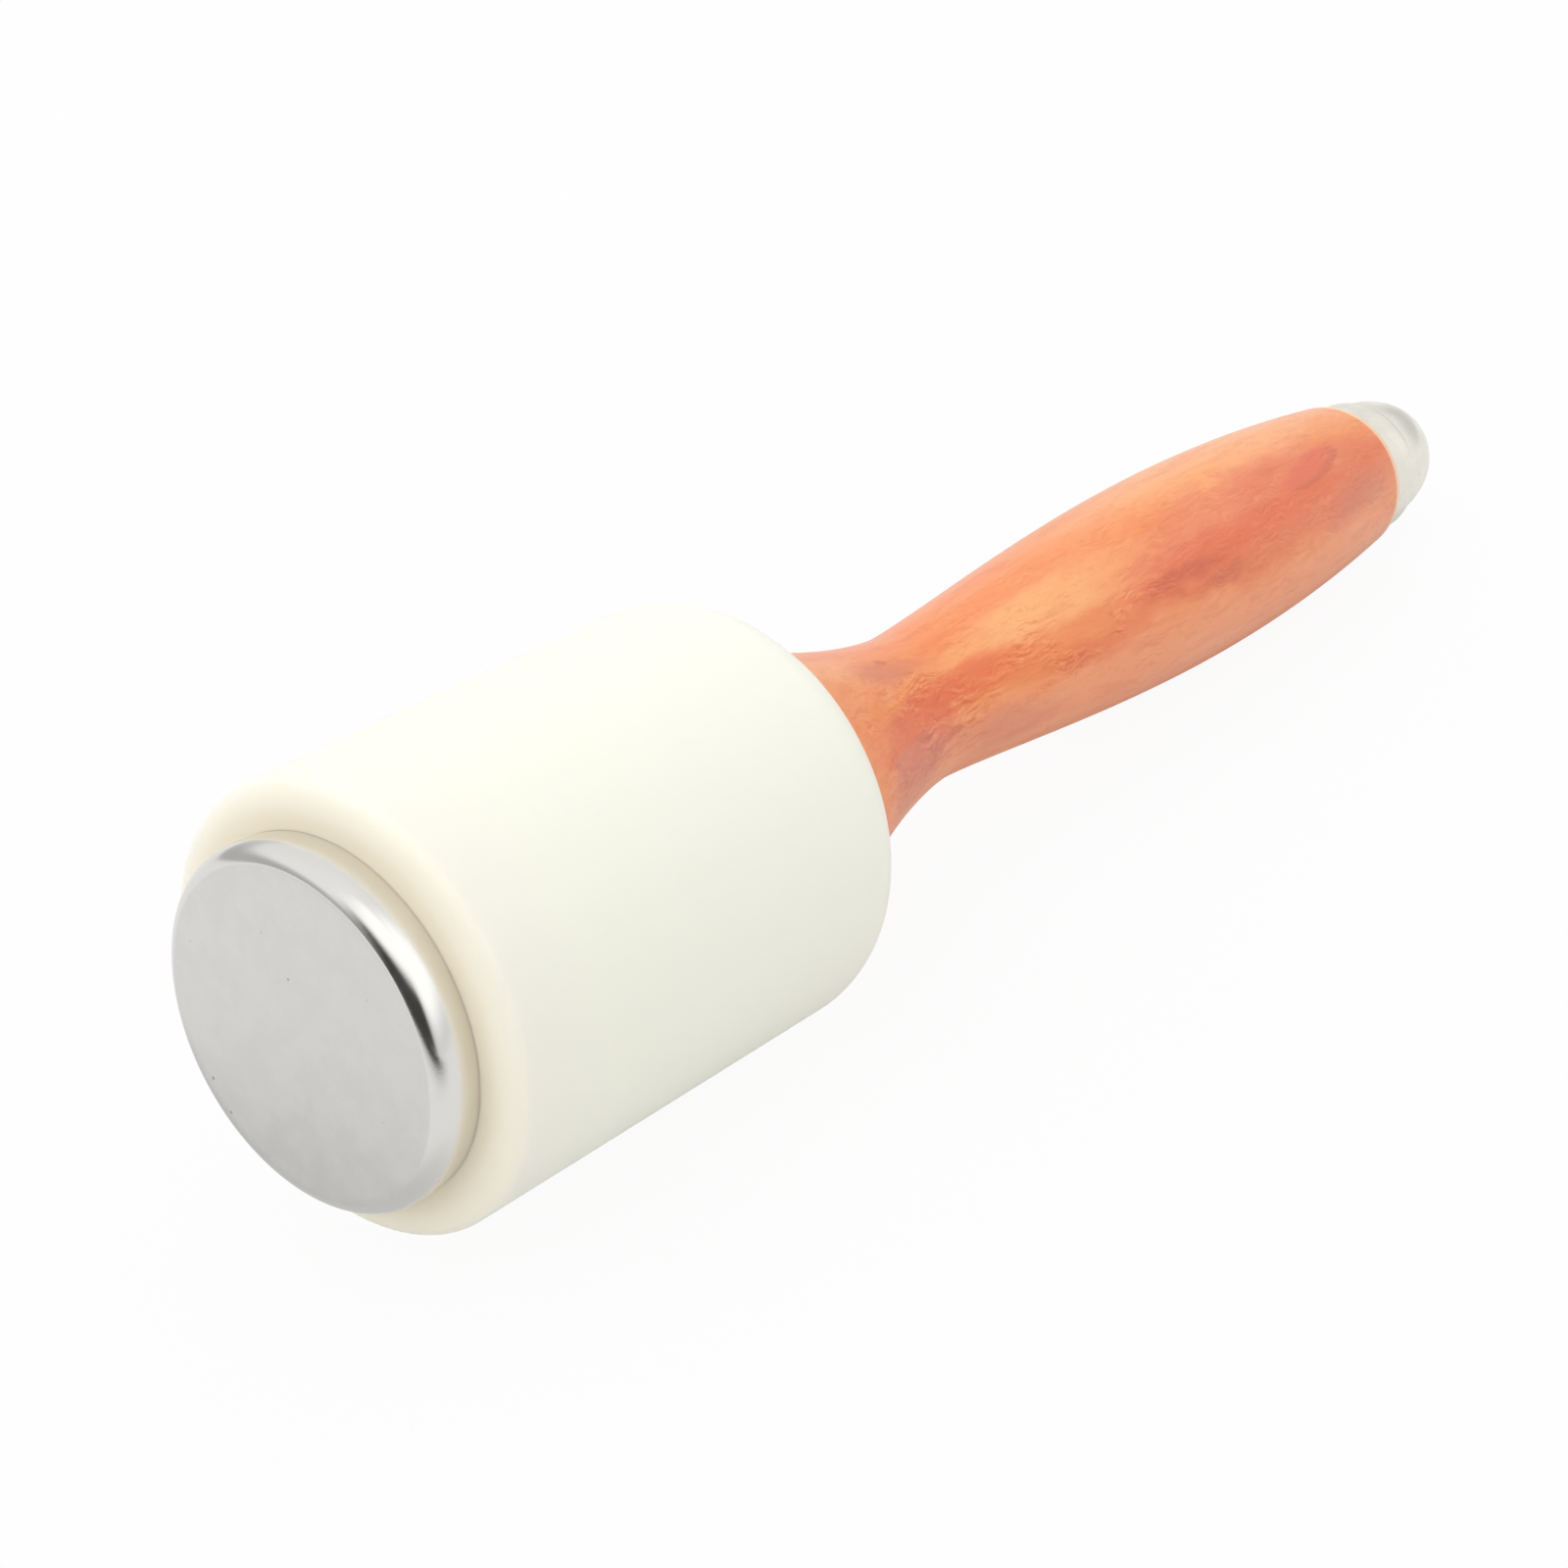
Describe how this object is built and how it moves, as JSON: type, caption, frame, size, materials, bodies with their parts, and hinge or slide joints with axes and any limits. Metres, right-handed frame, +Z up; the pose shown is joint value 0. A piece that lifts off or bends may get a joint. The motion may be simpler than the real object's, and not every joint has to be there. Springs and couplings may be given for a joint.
{
  "type": "leathercraft mallet",
  "caption": "Leathercraft mallet lying on its side: round nylon head with a flat aluminium face cap, flared and turned wooden handle, and a domed metal butt cap.",
  "frame": {"origin": "centre of the bottom of the bounding box: the point of the floor below the middle of the lying mallet", "axes": "+X along the mallet from the face cap to the butt, level with the floor; +Z up; the mallet's own axis slopes down to the butt by 5.60 degrees"},
  "size_m": [0.2272, 0.0504, 0.0552],
  "materials": {
    "turned_aluminium": "satin turned face with a polished rim",
    "white_nylon": "milky translucent, smooth",
    "lacquered_wood": "stained and lacquered, semi-gloss",
    "polished_steel": "polished",
    "zinc_steel": "zinc plated"
  },
  "bodies": {
    "root": {"face_cap": "turned_aluminium", "nylon_head": "white_nylon", "handle": "lacquered_wood", "butt_collar": "polished_steel", "butt_cap": "polished_steel", "tie_rod": "zinc_steel", "head_nut": "zinc_steel", "head_washer": "zinc_steel"}
  },
  "joints": []
}
